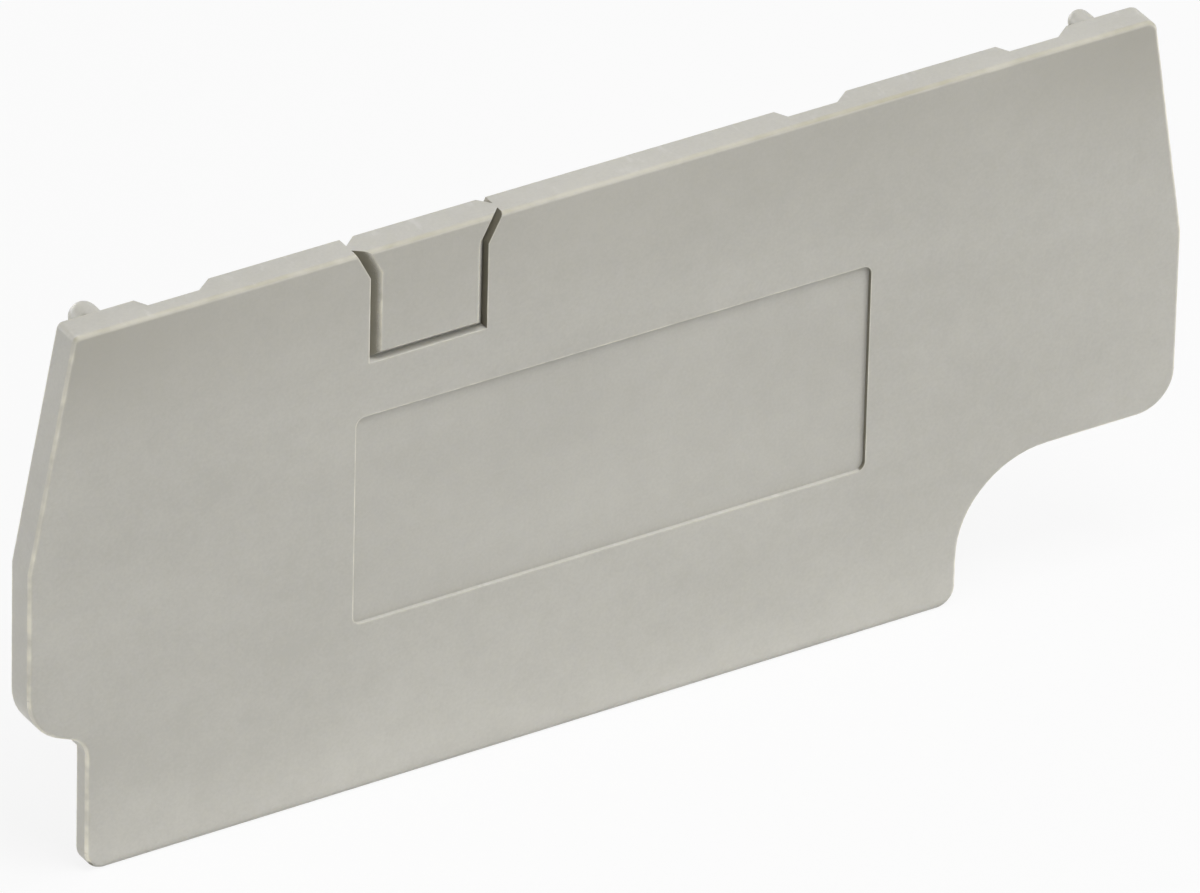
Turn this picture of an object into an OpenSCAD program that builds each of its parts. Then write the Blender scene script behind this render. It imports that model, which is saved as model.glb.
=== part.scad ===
// End cover for a rail-mounted spring terminal with three wire entries.
// One moulded plate: it closes the open side of the last terminal in a row.
// It is drawn lying face up. X runs along the cover, Y up the cover when it is fitted,
// and Z from the plane of its seat to the front face. end_cover() then stands it up.

/* [Plate] */
// Length over both ends
cover_l = 60.5; // [56:0.5:72]
// Height from the foot's lower edge to the top edge
cover_h = 28.3; // [27:0.1:36]
// Thickness of the plate without its rim
wall_t = 0.9; // [0.8:0.05:1.4]
// Round along the front edges
edge_r = 0.2; // [0.1:0.05:0.25]

/* [Ends] */
// Height at which both ends start to lean inwards
lean_start = 16.6; // [12:0.1:22]
// How far the left end leans in at the top edge
lean_left = 2.25; // [1:0.05:3]
// How far the right end leans in at the top edge
lean_right = 1.85; // [1:0.05:3]
// Radius of the top left corner
top_left_r = 0.3; // [0.3:0.05:1.5]
// Radius of the top right corner
top_right_r = 0.7; // [0.3:0.05:1.5]
// Radius of the left end's lower corner
low_left_r = 2.7; // [1:0.1:4]
// Radius of the right end's lower corner
low_right_r = 2; // [1:0.1:3]

/* [Foot] */
// Set-back of the foot from the left end
foot_in = 3; // [2.6:0.1:6]
// Length of the foot
foot_l = 45.9; // [38:0.1:47]
// Height of the foot below the left end
foot_left_h = 6.95; // [5:0.05:8]
// Fall of the left end's underside towards the foot
foot_left_fall = 1.3; // [0:0.1:1.8]
// Height of the foot below the right end
foot_right_h = 7.2; // [6.5:0.1:8]
// Radius of the foot's lower corners
foot_corner_r = 1; // [0.4:0.1:1.6]
// Fillet between the foot and the left end
foot_fillet_r = 1.2; // [0.4:0.05:1.4]
// Hollow arc between the foot and the right end
foot_arc_r = 4.65; // [3:0.05:5]

/* [Rim] */
// Height of the rim on the back
rim_h = 0.65; // [0.5:0.05:1.2]
// Width of the rim on the back
rim_w = 1.7; // [1.6:0.05:2.2]

/* [Wire entries] */
// Floor width of each gap that the rim leaves for a wire funnel
funnel_w = 2.6; // [1.6:0.1:3.4]
// Run of the gap's left wall
funnel_left_run = 0.35; // [0.2:0.05:0.8]
// Run of the gap's right wall
funnel_right_run = 0.85; // [0.2:0.05:1.2]
// Distance of the first funnel from the left end
funnel_1_in = 7.75; // [7.4:0.05:9]
// Distance of the last funnel from the right end
funnel_3_in = 7.9; // [7.6:0.05:9]
// Pitch between the two funnels on the right
funnel_pitch = 11.75; // [8:0.05:14]

/* [Break-out tab] */
// Distance of the tab's middle from the left end
tab_x = 20.45; // [18:0.05:24]
// Width of the tab's face
tab_w = 5; // [3.5:0.1:6]
// Height of the tab's face
tab_h = 5.35; // [3.5:0.05:6]
// Height of the part of the tab that flares out at the top edge
flare_h = 1.4; // [0.8:0.1:2]
// Angle by which each side flares out
flare_angle = 27.5; // [10:0.5:35]
// Width of the score left of the tab
score_left_w = 0.62; // [0.4:0.02:0.8]
// Width of the score right of the tab
score_right_w = 0.46; // [0.4:0.02:0.8]
// Width of the score below the tab
score_low_w = 0.46; // [0.4:0.02:0.8]
// Depth of the score in the front face
score_front_d = 0.52; // [0.3:0.02:0.6]
// Depth of the score in the rim
score_back_d = 0.6; // [0.3:0.05:0.65]

/* [Panel] */
// Distance of the sunken panel from the left end
panel_x = 16.7; // [10:0.1:20]
// Height of the panel's lower edge
panel_y = 8.85; // [5:0.05:10]
// Width of the panel
panel_w = 27; // [20:0.5:34]
// Height of the panel
panel_h = 10.9; // [8:0.1:12]
// Depth of the panel
panel_d = 0.2; // [0.1:0.05:0.3]
// Corner radius of the panel
panel_r = 0.45; // [0.2:0.05:1]

/* [Pegs] */
// Diameter of the left peg
peg_left_d = 1.4; // [0.8:0.05:1.5]
// Diameter of the right peg
peg_right_d = 1.1; // [0.8:0.05:1.5]
// Length of a peg over its domed tip
peg_l = 1.8; // [1.2:0.1:2.5]
// Distance of the left peg from the left end
peg_left_in = 4.2; // [3.6:0.05:4.6]
// Distance of the right peg from the right end
peg_right_in = 4.2; // [3.4:0.05:4.7]

/* [Hidden] */
$fn = 96;

// Overlap of pieces that join, and reach of a cut beyond the surface
over = 0.3;
// Length of a straight stretch that is left between two arcs
land_min = 0.05;
// Stand-off and overrun, in degrees, of the round at an arc where it meets a straight edge
hair = 0.005;
arc_lap = 1;
// Longer than any cut has to be
reach = 2 * cover_l;

// Height of the front face over the seat
face_z = rim_h + wall_t;
// Depth of the edge round's centre: a shade shallower than a quarter circle, with clean edges
edge_centre = 1.16 * edge_r;
peg_y = cover_h - rim_w / 2;
peg_right_x = cover_l - peg_right_in;
foot_right_x = foot_in + foot_l;
funnel_3_x = cover_l - funnel_3_in;
funnel_xs = [funnel_1_in, funnel_3_x - funnel_pitch, funnel_3_x];
// The left end's corner leaves room for the fillet beside it
step_l = norm([foot_in, foot_left_fall]);
step_turn = 90 - atan2(foot_left_fall, foot_in);
low_left_arc_r = min(low_left_r, (step_l - land_min) / tan(step_turn / 2) - foot_fillet_r);
// The score in the rim stays clear of the plate
score_rim_d = min(score_back_d, rim_h - land_min);

// Corners of the cover, anticlockwise from the foot, each as x, y and radius
cover_corners = [
    [foot_in, 0, foot_corner_r],
    [foot_right_x, 0, foot_corner_r],
    [foot_right_x, foot_right_h, foot_arc_r],
    [cover_l, foot_right_h, low_right_r],
    [cover_l, lean_start, 0],
    [cover_l - lean_right, cover_h, top_right_r],
    [lean_left, cover_h, top_left_r],
    [0, lean_start, 0],
    [0, foot_left_h + foot_left_fall, low_left_arc_r],
    [foot_in, foot_left_h, foot_fillet_r],
];

panel_corners = [
    [panel_x, panel_y, panel_r],
    [panel_x + panel_w, panel_y, panel_r],
    [panel_x + panel_w, panel_y + panel_h, panel_r],
    [panel_x, panel_y + panel_h, panel_r],
];

function unit(v) = v / norm(v);
function place(corner) = [corner[0], corner[1]];
function before(corners, i) = place(corners[(i + len(corners) - 1) % len(corners)]);
function after(corners, i) = place(corners[(i + 1) % len(corners)]);
// Directions in which the outline comes to a corner and leaves it
function way_in(corners, i) = unit(place(corners[i]) - before(corners, i));
function way_out(corners, i) = unit(after(corners, i) - place(corners[i]));
function turn(corners, i) = acos(way_in(corners, i) * way_out(corners, i));
function bulges(corners, i) = cross(way_in(corners, i), way_out(corners, i)) > 0;
// Where a corner's arc starts, ends and has its centre
function cut_back(corners, i) = corners[i][2] * tan(turn(corners, i) / 2);
function arc_start(corners, i) = place(corners[i]) - cut_back(corners, i) * way_in(corners, i);
function arc_end(corners, i) = place(corners[i]) + cut_back(corners, i) * way_out(corners, i);
function arc_centre(corners, i) =
    place(corners[i]) + corners[i][2] / cos(turn(corners, i) / 2)
    * unit(way_out(corners, i) - way_in(corners, i));
function left_of(way) = [-way[1], way[0]];
function heading(way) = atan2(way[1], way[0]);

// The same outline, moved in by a distance
function inset(corners, d) = [
    for (i = [0 : len(corners) - 1])
        let (
            n_in = left_of(way_in(corners, i)),
            n_out = left_of(way_out(corners, i)),
            p = place(corners[i]) + d * (n_in + n_out) / (1 + n_in * n_out),
            r = corners[i][2]
        )
        [p[0], p[1], bulges(corners, i) ? max(r - d, 0) : r + d]
];

// Flat shape with true arcs at its corners
module rounded(corners) {
    last = len(corners) - 1;
    difference() {
        union() {
            polygon([
                for (i = [0 : last])
                    each corners[i][2] > 0
                        ? [arc_start(corners, i), arc_end(corners, i)]
                        : [place(corners[i])]
            ]);
            for (i = [0 : last])
                if (corners[i][2] > 0 && bulges(corners, i))
                    translate(arc_centre(corners, i)) circle(corners[i][2]);
        }
        for (i = [0 : last])
            if (corners[i][2] > 0 && !bulges(corners, i))
                translate(arc_centre(corners, i)) circle(corners[i][2]);
    }
}

// Section of the waste that leaves a round on the front edge; x runs into the plate
module edge_waste() {
    difference() {
        translate([-over, face_z - edge_r]) square(edge_r + over);
        translate([edge_centre, face_z - edge_centre]) circle(norm([edge_centre, edge_centre - edge_r]));
    }
}

// Waste along the straight front edges; where two meet at a sharp corner they overlap
module straight_edge_waste(corners) {
    for (i = [0 : len(corners) - 1]) {
        next = (i + 1) % len(corners);
        way = way_out(corners, i);
        from = arc_end(corners, i) - (corners[i][2] > 0 ? 0 : edge_r) * way;
        to = arc_start(corners, next) + (corners[next][2] > 0 ? 0 : edge_r) * way;
        translate([from[0], from[1], 0])
            rotate([0, 0, heading(way)])
            rotate([90, 0, 90])
            linear_extrude(norm(to - from)) edge_waste();
    }
}

// Waste swept round the front edge of each arc. It runs on past the arc's ends, a hair outside
// the straight cuts, so that the two never share a face
module arc_edge_waste(corners) {
    for (i = [0 : len(corners) - 1])
        if (corners[i][2] > 0) {
            side = bulges(corners, i) ? 1 : -1;
            centre = arc_centre(corners, i);
            first = side > 0 ? arc_start(corners, i) : arc_end(corners, i);
            translate([centre[0], centre[1], 0])
                rotate([0, 0, heading(first - centre) - arc_lap])
                rotate_extrude(angle = turn(corners, i) + 2 * arc_lap)
                translate([corners[i][2] + side * hair, 0])
                mirror([side + 1, 0]) edge_waste();
        }
}

// Plate with its front edges rounded
module plate() {
    difference() {
        difference() {
            translate([0, 0, rim_h]) linear_extrude(wall_t) rounded(cover_corners);
            straight_edge_waste(cover_corners);
        }
        arc_edge_waste(cover_corners);
    }
}

// Everything outside one slanted side of the tab, for a score that opens upwards at Z 0
module outside_of_side(score_w, score_d) {
    steep = score_w / score_d;
    rotate([90, 0, 90])
        linear_extrude(reach, center = true)
        polygon([
            [-score_w - over * steep, over],
            [reach, over],
            [reach, -score_d],
            [0, -score_d],
        ]);
}

// Everything outside the tab's right flank, which flares out above its kink
module outside_of_flank(score_w, score_d) {
    intersection() {
        rotate([0, 0, -90]) outside_of_side(score_w, score_d);
        rotate([0, 0, -90 - flare_angle]) outside_of_side(score_w, score_d);
    }
}

// Score round three sides of the tab: upright on the plate's side, slanted on the tab's
module tab_score(score_d) {
    left_x = -tab_w / 2 - score_left_w;
    right_x = tab_w / 2 + score_right_w;
    low_y = cover_h - tab_h - score_low_w;
    kink_y = cover_h - flare_h;
    out_y = cover_h + over;
    flare_w = (out_y - kink_y) * tan(flare_angle);
    translate([tab_x, 0, 0])
        intersection() {
            translate([0, 0, -score_d - over])
                linear_extrude(score_d + 2 * over)
                polygon([
                    [left_x, low_y],
                    [right_x, low_y],
                    [right_x, kink_y],
                    [right_x + flare_w, out_y],
                    [left_x - flare_w, out_y],
                    [left_x, kink_y],
                ]);
            union() {
                translate([0, low_y, 0]) rotate([0, 0, 180]) outside_of_side(score_low_w, score_d);
                translate([right_x, kink_y, 0]) outside_of_flank(score_right_w, score_d);
                translate([left_x, kink_y, 0]) mirror([1, 0, 0]) outside_of_flank(score_left_w, score_d);
            }
        }
}

// Gap in the rim for one wire funnel, with sloping walls
module funnel_gap() {
    translate([-funnel_w / 2, cover_h + over, 0])
        rotate([90, 0, 0])
        linear_extrude(rim_w + 2 * over)
        polygon([
            [0, rim_h],
            [-funnel_left_run, 0],
            [-funnel_left_run, -over],
            [funnel_w + funnel_right_run, -over],
            [funnel_w + funnel_right_run, 0],
            [funnel_w, rim_h],
        ]);
}

// Rim along the top edge and both ends, open along the foot
module rim() {
    end_y = foot_left_h - foot_fillet_r / 2;
    arc_x = foot_right_x + foot_arc_r;
    difference() {
        linear_extrude(rim_h + over)
            difference() {
                rounded(cover_corners);
                rounded(inset(cover_corners, rim_w));
                translate([0, -over]) square([arc_x, end_y + over]);
                translate([cover_l / 2, -over]) square([arc_x - cover_l / 2, cover_h / 2 + over]);
            }
        for (x = funnel_xs)
            translate([x, 0, 0]) funnel_gap();
        mirror([0, 0, 1]) tab_score(score_rim_d);
    }
}

// Round peg with a domed tip, standing down from the seat
module peg(d) {
    r = d / 2;
    rotate_extrude()
        intersection() {
            union() {
                translate([0, r - peg_l]) circle(r);
                translate([0, r - peg_l]) square([r, peg_l - r + over]);
            }
            translate([0, -peg_l]) square([r, peg_l + over]);
        }
}

module end_cover() {
    color("#aeaca4")
        rotate([90, 0, 0])
        translate([-peg_left_in, -peg_y, 0])
        difference() {
            union() {
                plate();
                rim();
                translate([peg_left_in, peg_y, 0]) peg(peg_left_d);
                translate([peg_right_x, peg_y, 0]) peg(peg_right_d);
            }
            translate([0, 0, face_z - panel_d]) linear_extrude(panel_d + over) rounded(panel_corners);
            translate([0, 0, face_z]) tab_score(score_front_d);
        }
}

end_cover();
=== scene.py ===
import math

import bpy
from mathutils import Matrix, Vector


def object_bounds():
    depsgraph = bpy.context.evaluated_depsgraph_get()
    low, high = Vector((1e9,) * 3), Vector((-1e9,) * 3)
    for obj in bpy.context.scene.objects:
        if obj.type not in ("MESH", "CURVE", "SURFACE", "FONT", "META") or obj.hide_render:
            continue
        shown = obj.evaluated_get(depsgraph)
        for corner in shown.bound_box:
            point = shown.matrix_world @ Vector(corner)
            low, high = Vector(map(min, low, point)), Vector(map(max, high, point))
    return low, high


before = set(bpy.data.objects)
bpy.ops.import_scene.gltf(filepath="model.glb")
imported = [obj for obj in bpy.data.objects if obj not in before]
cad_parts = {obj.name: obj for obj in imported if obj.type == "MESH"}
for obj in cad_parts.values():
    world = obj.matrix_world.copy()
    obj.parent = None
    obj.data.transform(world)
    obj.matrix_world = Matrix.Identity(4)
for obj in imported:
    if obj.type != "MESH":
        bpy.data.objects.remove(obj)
cad_low, cad_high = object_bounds()

# End cover: one flat plate of light grey polyamide 6.6, injection moulded with its rim, tab and pegs.
# Its faces have the fine satin of a spark-eroded mould. Its edges carry creamy lines of painted
# highlight, and the top edge has marks of the tool and of handling.

MM = 0.001
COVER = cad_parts["end_cover"]
middle = (cad_low + cad_high) / 2

# Grey of the plastic, then painted shade below the top and in the scores, painted highlight on the edges,
# painted shade on the top round, and the pale of the scuffs
DARK_GREY = "#b1afa7"
LIGHT_GREY = "#bbb9b1"
TOP_SHADE_GREY = "#a4a197"
SCORE_SHADE_OLIVE = "#6b6550"
EDGE_HIGHLIGHT_CREAM = "#f0ecdc"
DULL_SHADE_CREAM = "#a29d87"
SCUFF_PALE = "#cfcdc9"

# Widths of the patterns in millimetres
FLOW_WIDTH = 9.0
BLOTCH_WIDTH = 1.4
# The satin is about 0.05 mm fine; it is drawn three times as coarse, so that it shows
SATIN_WIDTH = 0.15
TOOL_MARK_WIDTH = 0.16
SCUFF_WIDTH = 0.9

SATIN_DEPTH = 0.006 * MM
# Reach of the painted shade in a score, radius of the worn edges and width of the painted highlight
# beside them
SCORE_REACH = 0.6 * MM
EDGE_ROUND = 0.07 * MM
EDGE_ZONE = 0.13 * MM
# Depth of the band of painted shade below the top, and where it deepens, from the cover's middle outwards
TOP_BAND = 8 * MM
CORNER_FROM = 17 * MM
CORNER_TO = 29 * MM


def linear(hex_colour):
    """An sRGB hex colour as the linear RGBA that shader sockets take."""
    parts = [int(hex_colour[i:i + 2], 16) / 255 for i in (1, 3, 5)]
    return [p / 12.92 if p <= 0.04045 else ((p + 0.055) / 1.055) ** 2.4 for p in parts] + [1.0]


def add_node(tree, kind, links=None, sockets=None, **settings):
    """A node with its settings, its socket values and the links that come into it."""
    node = tree.nodes.new(kind)
    for name, value in settings.items():
        setattr(node, name, value)
    for name, value in (sockets or {}).items():
        node.inputs[name].default_value = value
    for name, source in (links or {}).items():
        tree.links.new(source, node.inputs[name])
    return node


def per_mm(size_mm):
    """Noise scale, for coordinates in metres, that gives cells of this size."""
    return 1 / (size_mm * MM)


def moulded_polyamide():
    """Satin, faintly mottled grey plastic: painted highlight in creamy lines on its edges, painted olive
    shade in the side scores and painted shade near the top.
    """
    material = bpy.data.materials.new("moulded_polyamide_satin_grey")
    material.use_nodes = True
    tree = material.node_tree
    tree.nodes.clear()
    place = add_node(tree, "ShaderNodeTexCoord").outputs["Object"]
    spot = add_node(tree, "ShaderNodeSeparateXYZ", {"Vector": place}).outputs
    normal = add_node(tree, "ShaderNodeNewGeometry").outputs["Normal"]
    facing = add_node(tree, "ShaderNodeSeparateXYZ", {"Vector": normal}).outputs
    hollow = add_node(
        tree, "ShaderNodeAmbientOcclusion", None, {"Distance": SCORE_REACH}, samples=6).outputs["AO"]
    edge_round = add_node(
        tree, "ShaderNodeBevel", None, {"Radius": EDGE_ROUND}, samples=6).outputs["Normal"]
    edge_zone = add_node(
        tree, "ShaderNodeBevel", None, {"Radius": EDGE_ZONE}, samples=6).outputs["Normal"]

    # Slow drifts of the pigment along the flow of the melt, the blotches between them and a fine grain
    flow_place = add_node(
        tree, "ShaderNodeMapping", {"Vector": place}, {"Scale": (0.55, 1.0, 1.0)})
    flow = add_node(
        tree, "ShaderNodeTexNoise", {"Vector": flow_place.outputs["Vector"]},
        {"Scale": per_mm(FLOW_WIDTH), "Detail": 3.0, "Roughness": 0.55})
    blotch = add_node(
        tree, "ShaderNodeTexNoise", {"Vector": place},
        {"Scale": per_mm(BLOTCH_WIDTH), "Detail": 2.0, "Roughness": 0.6})
    drift = add_node(
        tree, "ShaderNodeMix", {"A": flow.outputs["Fac"], "B": blotch.outputs["Fac"]},
        {"Factor": 0.35}, data_type="FLOAT")
    grit = add_node(
        tree, "ShaderNodeTexNoise", {"Vector": place},
        {"Scale": per_mm(SATIN_WIDTH), "Detail": 2.0, "Roughness": 0.5})
    tone = add_node(
        tree, "ShaderNodeMix", {"A": drift.outputs["Result"], "B": grit.outputs["Fac"]},
        {"Factor": 0.3}, data_type="FLOAT")
    skin = add_node(tree, "ShaderNodeValToRGB", {"Fac": tone.outputs["Result"]})
    skin.color_ramp.elements[0].position = 0.38
    skin.color_ramp.elements[0].color = linear(DARK_GREY)
    skin.color_ramp.elements[1].position = 0.62
    skin.color_ramp.elements[1].color = linear(LIGHT_GREY)

    # Near the top, most of all in its corners, the front is a shade darker and warmer: painted shade,
    # standing in for the shade of the bow that the flat plate lacks, matched in the colour
    on_front = add_node(
        tree, "ShaderNodeMapRange", {"Value": facing["Y"]},
        {"From Min": -0.8, "From Max": -0.95, "To Min": 0.0, "To Max": 1.0})
    near_top = add_node(
        tree, "ShaderNodeMapRange", {"Value": spot["Z"]},
        {"From Min": cad_high.z - TOP_BAND, "From Max": cad_high.z, "To Min": 0.0, "To Max": 0.5},
        interpolation_type="SMOOTHSTEP")
    off_middle = add_node(
        tree, "ShaderNodeMath", {0: spot["X"]}, {1: middle.x}, operation="SUBTRACT")
    aside = add_node(tree, "ShaderNodeMath", {0: off_middle.outputs[0]}, operation="ABSOLUTE")
    near_end = add_node(
        tree, "ShaderNodeMapRange", {"Value": aside.outputs[0]},
        {"From Min": CORNER_FROM, "From Max": CORNER_TO, "To Min": 0.85, "To Max": 1.7},
        interpolation_type="SMOOTHSTEP")
    shade_reach = add_node(
        tree, "ShaderNodeMath", {0: near_top.outputs["Result"], 1: near_end.outputs["Result"]},
        operation="MULTIPLY")
    painted_top_shade = add_node(
        tree, "ShaderNodeMath", {0: shade_reach.outputs[0], 1: on_front.outputs["Result"]},
        operation="MULTIPLY")
    top_shaded = add_node(
        tree, "ShaderNodeMix", {"Factor": painted_top_shade.outputs[0], "A": skin.outputs["Color"]},
        {"B": linear(TOP_SHADE_GREY)}, data_type="RGBA")

    # The flanks of the two side scores that face left are painted olive and darker, deepest in the score:
    # painted shade
    to_left = add_node(
        tree, "ShaderNodeMapRange", {"Value": facing["X"]},
        {"From Min": -0.35, "From Max": -0.5, "To Min": 0.0, "To Max": 1.0})
    in_score = add_node(
        tree, "ShaderNodeMapRange", {"Value": hollow},
        {"From Min": 0.99, "From Max": 0.88, "To Min": 0.0, "To Max": 0.78})
    painted_score_shade = add_node(
        tree, "ShaderNodeMath", {0: to_left.outputs["Result"], 1: in_score.outputs["Result"]},
        operation="MULTIPLY")
    score_shaded = add_node(
        tree, "ShaderNodeMix", {"Factor": painted_score_shade.outputs[0], "A": top_shaded.outputs["Result"]},
        {"B": linear(SCORE_SHADE_OLIVE)}, data_type="RGBA")

    # Painted highlight: each edge and the front round get a creamy line, broken here and there and weaker
    # where they face up
    turn = add_node(
        tree, "ShaderNodeVectorMath", {0: edge_zone, 1: normal}, operation="DOT_PRODUCT")
    on_edge = add_node(
        tree, "ShaderNodeMapRange", {"Value": turn.outputs["Value"]},
        {"From Min": 0.99, "From Max": 0.9, "To Min": 0.0, "To Max": 1.0})
    off_front = add_node(
        tree, "ShaderNodeMapRange", {"Value": facing["Y"]},
        {"From Min": -0.99, "From Max": -0.82, "To Min": 0.0, "To Max": 1.0})
    off_side = add_node(
        tree, "ShaderNodeMapRange", {"Value": facing["Y"]},
        {"From Min": 0.0, "From Max": -0.4, "To Min": 0.0, "To Max": 1.0})
    on_round = add_node(
        tree, "ShaderNodeMath", {0: off_front.outputs["Result"], 1: off_side.outputs["Result"]},
        operation="MULTIPLY")
    edge = add_node(
        tree, "ShaderNodeMath", {0: on_edge.outputs["Result"], 1: on_round.outputs[0]},
        operation="MAXIMUM")
    in_open = add_node(
        tree, "ShaderNodeMapRange", {"Value": hollow},
        {"From Min": 0.92, "From Max": 0.99, "To Min": 0.0, "To Max": 1.0})
    rise = add_node(tree, "ShaderNodeSeparateXYZ", {"Vector": edge_zone}).outputs["Z"]
    upright = add_node(
        tree, "ShaderNodeMapRange", {"Value": rise},
        {"From Min": 0.1, "From Max": 0.5, "To Min": 0.9, "To Max": 0.1})
    open_edge = add_node(
        tree, "ShaderNodeMath", {0: edge.outputs[0], 1: in_open.outputs["Result"]},
        operation="MULTIPLY")
    uneven = add_node(
        tree, "ShaderNodeMapRange", {"Value": blotch.outputs["Fac"]},
        {"From Min": 0.4, "From Max": 0.6, "To Min": 0.45, "To Max": 1.0})
    broken_edge = add_node(
        tree, "ShaderNodeMath", {0: open_edge.outputs[0], 1: uneven.outputs["Result"]},
        operation="MULTIPLY")
    lit_edge = add_node(
        tree, "ShaderNodeMath", {0: broken_edge.outputs[0], 1: upright.outputs["Result"]},
        operation="MULTIPLY")
    edge_highlighted = add_node(
        tree, "ShaderNodeMix", {"Factor": lit_edge.outputs[0], "A": score_shaded.outputs["Result"]},
        {"B": linear(EDGE_HIGHLIGHT_CREAM)}, data_type="RGBA")

    # Along the top the front round is a duller cream than on the ends: painted shade, laid where the
    # round faces up
    upward = add_node(
        tree, "ShaderNodeMapRange", {"Value": facing["Z"]},
        {"From Min": 0.2, "From Max": 0.55, "To Min": 0.0, "To Max": 0.9})
    top_round = add_node(
        tree, "ShaderNodeMath", {0: on_round.outputs[0], 1: upward.outputs["Result"]},
        operation="MULTIPLY")
    dull_edge = add_node(
        tree, "ShaderNodeMath", {0: top_round.outputs[0], 1: in_open.outputs["Result"]},
        operation="MULTIPLY")
    patchy = add_node(
        tree, "ShaderNodeMapRange", {"Value": drift.outputs["Result"]},
        {"From Min": 0.4, "From Max": 0.6, "To Min": 1.0, "To Max": 0.4})
    round_shaded = add_node(
        tree, "ShaderNodeMath", {0: dull_edge.outputs[0], 1: patchy.outputs["Result"]},
        operation="MULTIPLY")
    rounded = add_node(
        tree, "ShaderNodeMix", {"Factor": round_shaded.outputs[0], "A": edge_highlighted.outputs["Result"]},
        {"B": linear(DULL_SHADE_CREAM)}, data_type="RGBA")

    # The top edge shows the tool's marks along it and pale scuffs across it
    on_top = add_node(
        tree, "ShaderNodeMapRange", {"Value": facing["Z"]},
        {"From Min": 0.8, "From Max": 0.95, "To Min": 0.0, "To Max": 1.0})
    mark_place = add_node(
        tree, "ShaderNodeMapping", {"Vector": place}, {"Scale": (0.06, 1.0, 1.0)})
    marks = add_node(
        tree, "ShaderNodeTexNoise", {"Vector": mark_place.outputs["Vector"]},
        {"Scale": per_mm(TOOL_MARK_WIDTH), "Detail": 1.0, "Roughness": 0.5})
    scuff_place = add_node(
        tree, "ShaderNodeMapping", {"Vector": place},
        {"Scale": (1.0, 0.45, 1.0), "Rotation": (0.0, 0.0, 0.5)})
    scuffs = add_node(
        tree, "ShaderNodeTexNoise", {"Vector": scuff_place.outputs["Vector"]},
        {"Scale": per_mm(SCUFF_WIDTH), "Detail": 3.0, "Roughness": 0.6})
    scuffed = add_node(
        tree, "ShaderNodeMapRange", {"Value": scuffs.outputs["Fac"]},
        {"From Min": 0.6, "From Max": 0.72, "To Min": 0.12, "To Max": 0.5})
    pale = add_node(
        tree, "ShaderNodeMath", {0: scuffed.outputs["Result"], 1: on_top.outputs["Result"]},
        operation="MULTIPLY")
    worn = add_node(
        tree, "ShaderNodeMix", {"Factor": pale.outputs[0], "A": rounded.outputs["Result"]},
        {"B": linear(SCUFF_PALE)}, data_type="RGBA")
    rough = add_node(
        tree, "ShaderNodeMix",
        {"Factor": on_top.outputs["Result"], "A": grit.outputs["Fac"], "B": marks.outputs["Fac"]},
        data_type="FLOAT")

    relief = add_node(
        tree, "ShaderNodeBump", {"Height": rough.outputs["Result"], "Normal": edge_round},
        {"Strength": 0.35, "Distance": SATIN_DEPTH})
    sheen = add_node(
        tree, "ShaderNodeMapRange", {"Value": tone.outputs["Result"]},
        {"From Min": 0.3, "From Max": 0.7, "To Min": 0.44, "To Max": 0.52})
    plastic = add_node(
        tree, "ShaderNodeBsdfPrincipled",
        {"Base Color": worn.outputs["Result"], "Roughness": sheen.outputs["Result"],
         "Normal": relief.outputs["Normal"]},
        {"IOR": 1.53, "Subsurface Weight": 0.3, "Subsurface Radius": (1.0, 0.95, 0.65),
         "Subsurface Scale": 0.2 * MM})
    add_node(tree, "ShaderNodeOutputMaterial", {"Surface": plastic.outputs["BSDF"]})
    return material


COVER.material_slots[0].material = moulded_polyamide()


# Studio: the cover stands on its foot on a pale table that runs back out of sight.
# The main lamp stands in front, high on the right, and a second one hangs above the front.
# Two low ones behind light the left end and the back, as a lit background does.

FLOOR_Z = cad_low.z
FLOOR_HALF = 1.5
TABLE_GREY = "#d8d8d8"
# Share of plain white in the ground that the camera sees, and the light that the room itself gives
GROUND_WHITE = 0.88
ROOM_LIGHT = 0.16


def seen_rays(tree):
    """1 for a ray that shows the ground or the room itself: to the camera, off gloss or through glass."""
    ray = add_node(tree, "ShaderNodeLightPath").outputs
    seen = ray["Is Camera Ray"]
    for other in ("Is Glossy Ray", "Is Transmission Ray"):
        seen = add_node(tree, "ShaderNodeMath", {0: seen, 1: ray[other]}, operation="MAXIMUM").outputs[0]
    return seen


def pale_table():
    """Matt pale paint that the camera sees as a white ground, with a faint soft shadow left on it."""
    material = bpy.data.materials.new("matt_pale_table")
    material.use_nodes = True
    tree = material.node_tree
    tree.nodes.clear()
    seen = seen_rays(tree)
    paint = add_node(tree, "ShaderNodeBsdfDiffuse", None, {"Color": linear(TABLE_GREY)})
    white = add_node(tree, "ShaderNodeEmission", None, {"Strength": 1.0})
    ground = add_node(
        tree, "ShaderNodeMixShader", {1: paint.outputs[0], 2: white.outputs[0]}, {"Fac": GROUND_WHITE})
    shown = add_node(
        tree, "ShaderNodeMixShader", {"Fac": seen, 1: paint.outputs[0], 2: ground.outputs[0]})
    add_node(tree, "ShaderNodeOutputMaterial", {"Surface": shown.outputs[0]})
    return material


table_mesh = bpy.data.meshes.new("table")
table_mesh.from_pydata(
    [(x * FLOOR_HALF, y * FLOOR_HALF, FLOOR_Z) for x, y in ((-1, -1), (1, -1), (1, 1), (-1, 1))],
    [], [(0, 1, 2, 3)])
table = bpy.data.objects.new("table", table_mesh)
table_mesh.materials.append(pale_table())
bpy.context.scene.collection.objects.link(table)


def soft_lamp(name, place, target, width, depth, power):
    """A rectangular diffuser that shines at the target and that the camera doesn't see."""
    light = bpy.data.lights.new(name, "AREA")
    light.shape = "RECTANGLE"
    light.size = width
    light.size_y = depth
    light.energy = power
    lamp = bpy.data.objects.new(name, light)
    lamp.location = place
    lamp.rotation_euler = (target - place).to_track_quat("-Z", "Y").to_euler()
    lamp.visible_camera = False
    bpy.context.scene.collection.objects.link(lamp)


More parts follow.
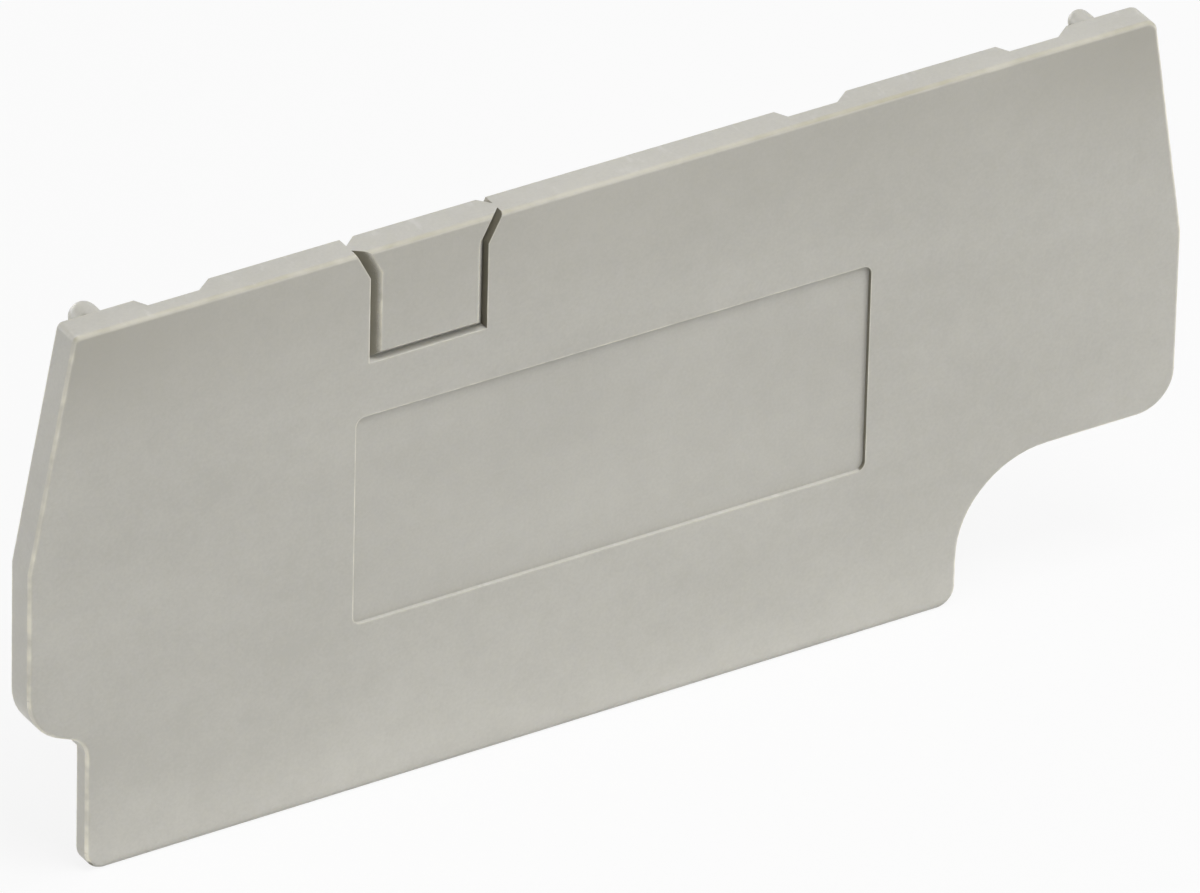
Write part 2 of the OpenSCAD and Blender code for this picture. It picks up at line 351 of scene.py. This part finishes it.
# Each lamp's place from the cover's middle, its width and depth in metres, and its watts
for name, offset, width, depth, power in (
        ("lamp_right", (0.22, -0.38, 0.42), 0.5, 0.5, 2.6),
        ("lamp_over", (0.03, -0.13, 0.6), 0.3, 0.3, 2.0),
        ("lamp_back_left", (-0.55, 0.33, 0.06), 0.4, 0.09, 1.55),
        ("lamp_back", (-0.1, 0.62, 0.02), 0.4, 0.06, 1.5)):
    soft_lamp(name, middle + Vector(offset), middle, width, depth, power)

# The lit table throws light up at the cover's front, most of all at its last millimetres
foot = Vector((middle.x, cad_low.y, FLOOR_Z))
for name, ahead_mm, width, depth, power in (
        ("lit_table", 19, 0.1, 0.032, 0.0014),
        ("table_glow", 1.7, 0.08, 0.003, 0.00026)):
    on_table = foot + Vector((0, -ahead_mm, 0.2)) * MM
    over_it = foot + Vector((0, -ahead_mm, 1)) * MM
    soft_lamp(name, on_table, over_it, width, depth, power)

world = bpy.data.worlds.new("white_room")
bpy.context.scene.world = world
world.use_nodes = True
room = world.node_tree
room.nodes.clear()
strength = add_node(
    room, "ShaderNodeMapRange", {"Value": seen_rays(room)}, {"To Min": ROOM_LIGHT, "To Max": 1.0})
glow = add_node(room, "ShaderNodeBackground", {"Strength": strength.outputs["Result"]})
add_node(room, "ShaderNodeOutputWorld", {"Surface": glow.outputs[0]})


# Camera: a long lens, high on the left in front of the cover, as the photograph was taken.
# The angles, the distance and the point it looks at were fitted to the photograph's edges.

AZIMUTH = math.radians(31.947)
ELEVATION = math.radians(31.967)
ROLL = math.radians(1.43)
DISTANCE = 809.92 * MM
LOOKS_AT = Vector((25.797, -0.75, -13.612)) * MM

camera_data = bpy.data.cameras.new("camera")
camera_data.sensor_width = 36
camera_data.lens = 540
camera_data.clip_start = 0.01
camera = bpy.data.objects.new("camera", camera_data)
look = Vector((
    math.sin(AZIMUTH) * math.cos(ELEVATION),
    math.cos(AZIMUTH) * math.cos(ELEVATION),
    -math.sin(ELEVATION)))
camera.matrix_world = (
    Matrix.Translation(LOOKS_AT - DISTANCE * look)
    @ look.to_track_quat("-Z", "Y").to_matrix().to_4x4()
    @ Matrix.Rotation(ROLL, 4, "Z"))
bpy.context.scene.collection.objects.link(camera)
bpy.context.scene.camera = camera
bpy.context.scene.view_settings.view_transform = "Standard"
